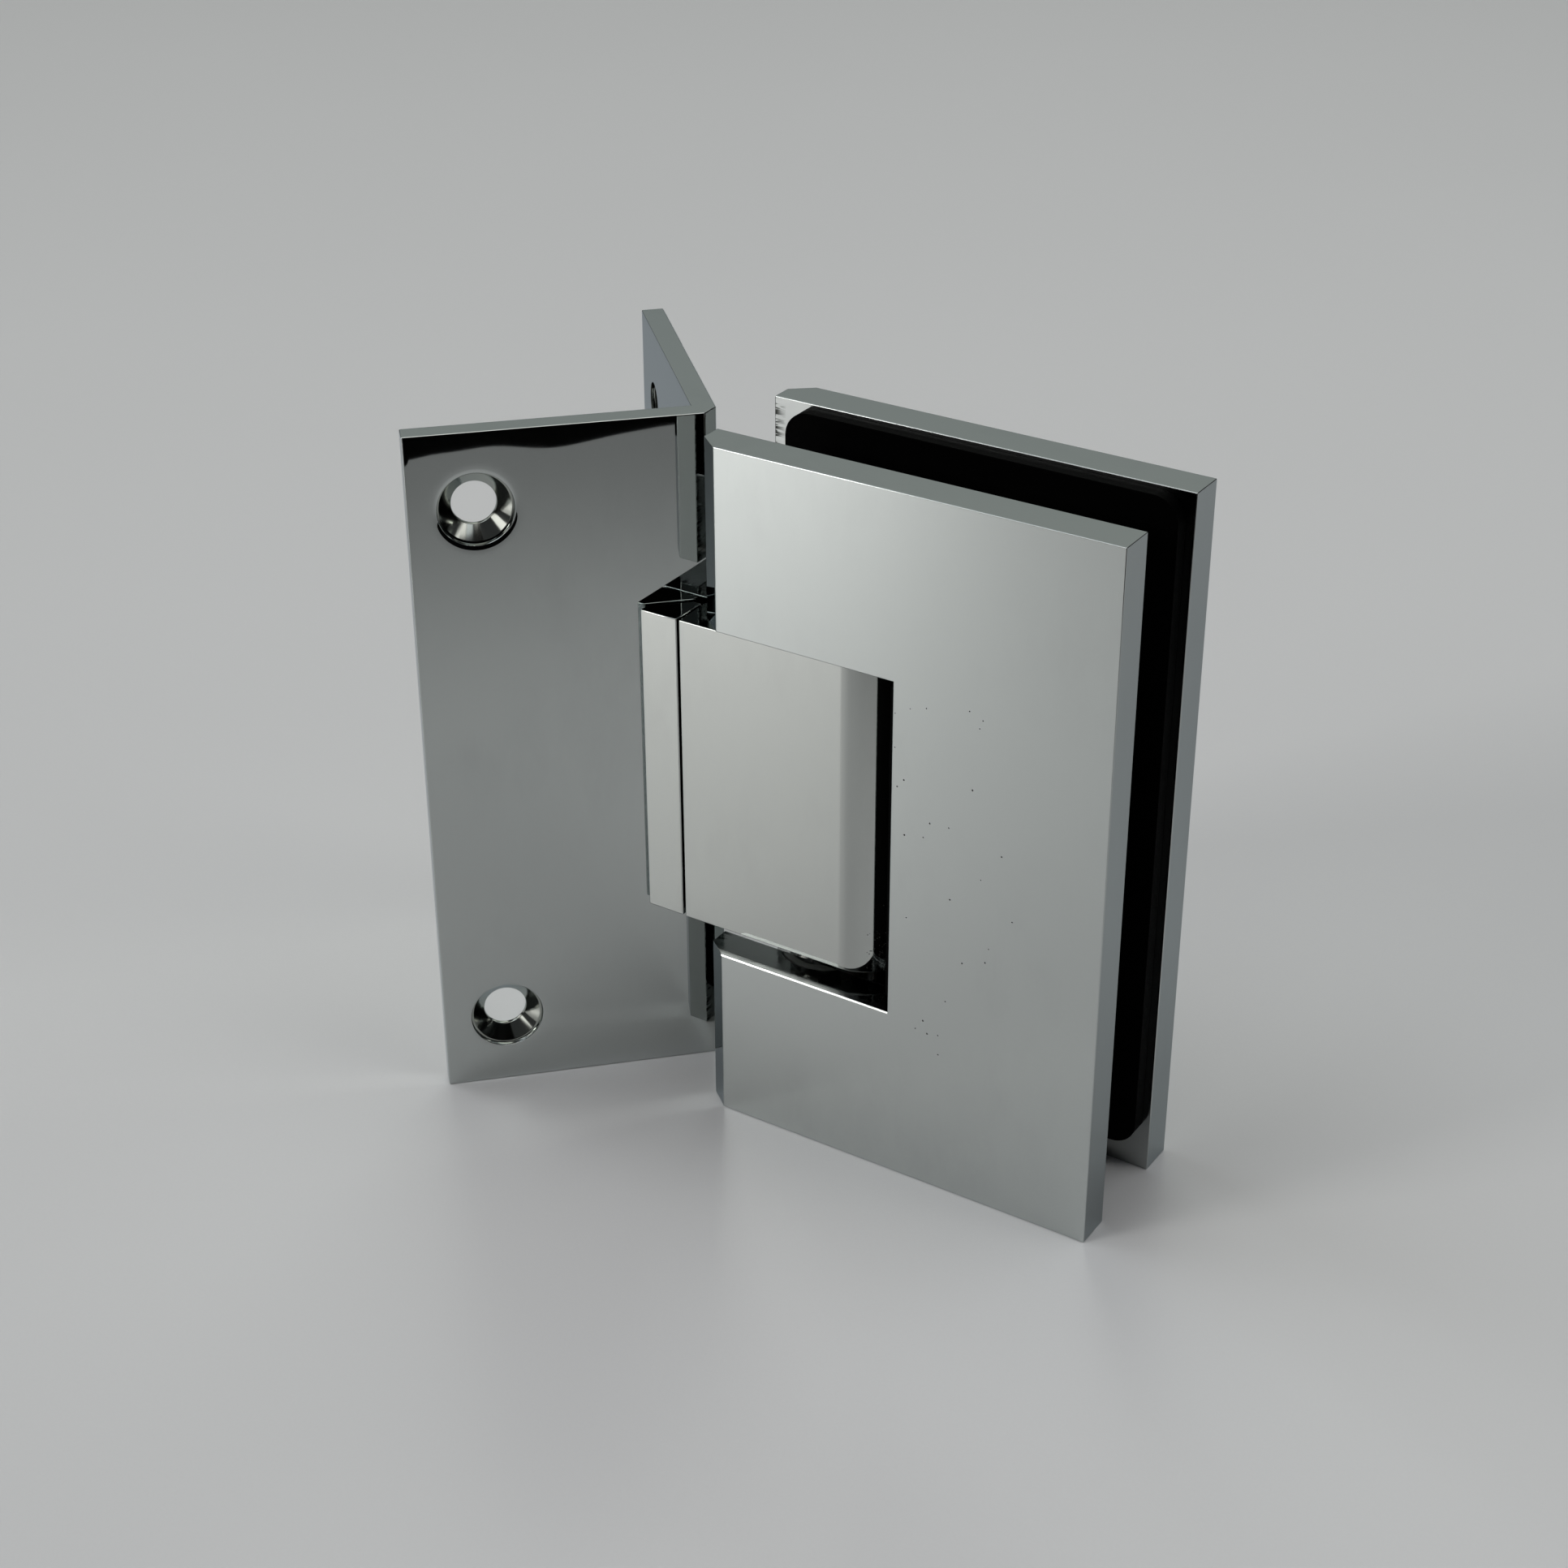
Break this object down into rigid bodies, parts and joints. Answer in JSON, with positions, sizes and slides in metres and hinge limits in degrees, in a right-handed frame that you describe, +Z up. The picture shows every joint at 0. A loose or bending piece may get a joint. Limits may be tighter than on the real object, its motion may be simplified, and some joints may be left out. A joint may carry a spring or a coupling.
{
  "type": "glass shower door hinge",
  "caption": "Wall-to-glass door hinge: a right-angled corner wall plate, a fixed pivot block and a notched two-plate clamp with rubber pads that swings both ways.",
  "frame": {"origin": "on the pivot pin's axis, level with the underside of the clamp plates, under the middle of the hinge", "axes": "+Z up along the pivot pin, +X from the pivot into the glass door, +Y towards the clamp's screw side"},
  "size_m": [0.0857, 0.0518, 0.09],
  "materials": {
    "chrome": "polished chrome plate on brass",
    "steel": "plain stainless steel",
    "spring_steel": "drawn wire",
    "rubber": "matte black rubber sheet",
    "nylon": "natural nylon",
    "brass": "machined brass"
  },
  "bodies": {
    "wall_side": {"corner_plate": "chrome", "front_wedge": "chrome", "rear_wedge": "chrome", "pivot_block": "chrome", "block_screw_lower": "steel", "block_screw_upper": "steel", "spring_plug_lower": "steel", "spring_plug_upper": "steel", "detent_spring_lower": "spring_steel", "detent_spring_upper": "spring_steel", "bush_lower": "nylon", "bush_upper": "nylon"},
    "plunger_lower": {"detent_plunger_lower": "brass"},
    "plunger_upper": {"detent_plunger_upper": "brass"},
    "glass_clamp": {"pivot_pin": "steel", "pin_screw_lower": "steel", "pin_screw_upper": "steel", "front_clamp_plate": "chrome", "rear_clamp_plate": "chrome", "front_gasket": "rubber", "rear_gasket": "rubber", "clamp_screw_lower": "chrome", "clamp_screw_upper": "chrome", "glass_sleeve_lower": "nylon", "glass_sleeve_upper": "nylon"}
  },
  "joints": [
    {"name": "door_swing", "type": "hinge", "parent": "wall_side", "child": "glass_clamp", "pos_m": [0, 0, 0], "axis": [0, 0, 1], "range_deg": [-90, 90]},
    {"name": "plunger_lower_slide", "type": "slide", "parent": "wall_side", "child": "plunger_lower", "axis": [1, 0, 0], "range_m": [0, 0.0008], "stiffness_N_per_m": 2000, "springref_m": 0.0008},
    {"name": "plunger_upper_slide", "type": "slide", "parent": "wall_side", "child": "plunger_upper", "axis": [1, 0, 0], "range_m": [0, 0.0008], "stiffness_N_per_m": 2000, "springref_m": 0.0008}
  ]
}
